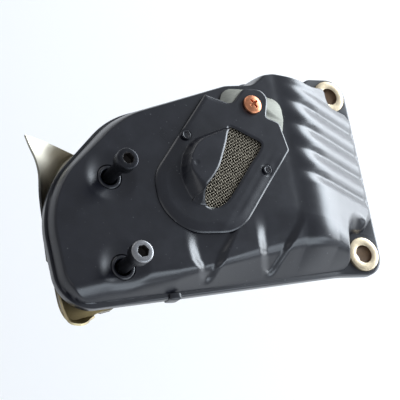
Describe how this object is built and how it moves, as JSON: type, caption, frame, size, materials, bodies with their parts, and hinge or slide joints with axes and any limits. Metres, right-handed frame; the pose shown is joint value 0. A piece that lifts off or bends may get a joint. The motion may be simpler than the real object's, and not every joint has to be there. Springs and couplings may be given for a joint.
{
  "type": "exhaust muffler",
  "caption": "Pressed-steel muffler for a small two-stroke engine: ribbed painted shell, hooded spark-arrestor outlet, rear heat shield, bushed eyelets and loose mounting screws.",
  "frame": {"origin": "middle of the bounding box's base, on the plane of the rear mounting faces", "axes": "+Z along the mounting screws towards the painted front; +X from the exhaust port end to the eyelet end; +Y towards the cover screw"},
  "size_m": [0.158, 0.1094, 0.0451],
  "materials": {
    "black_paint": "satin heat-proof paint",
    "bare_steel": "bare sheet with a light golden tint",
    "shield_steel": "bright bare sheet",
    "bright_steel": "bright sheet, dull",
    "steel_screw": "black oxide, worn on the crown",
    "brass_plate": "yellow passivated ring",
    "screen_wire": "woven wire, heat tinted",
    "gasket_fibre": "graphite fibre",
    "copper_screw": "copper plating"
  },
  "bodies": {
    "muffler": {"front_shell": "black_paint", "rear_shell": "bare_steel", "baffle_plate": "bare_steel", "inlet_diffuser": "bare_steel", "outlet_duct": "bare_steel", "seam_clip": "black_paint", "inlet_flange": "bare_steel", "exhaust_gasket": "gasket_fibre", "heat_shield": "shield_steel", "screw_sleeve_upper": "black_paint", "screw_sleeve_lower": "black_paint", "eyelet_bush_upper": "brass_plate", "eyelet_bush_lower": "brass_plate", "outlet_cover": "black_paint", "screen_plate": "bright_steel", "spark_screen": "screen_wire", "cover_screw": "copper_screw", "weld_nut": "bare_steel", "cover_rivet_left": "black_paint", "cover_rivet_right": "black_paint"},
    "upper_screw": {"mounting_screw_upper": "steel_screw"},
    "lower_screw": {"mounting_screw_lower": "steel_screw"}
  },
  "joints": [
    {"name": "upper_screw_slide", "type": "slide", "parent": "muffler", "child": "upper_screw", "axis": [0, 0, 1], "range_m": [-0.0128, 0.018]},
    {"name": "lower_screw_slide", "type": "slide", "parent": "muffler", "child": "lower_screw", "axis": [0, 0, 1], "range_m": [-0.0128, 0.018]}
  ]
}
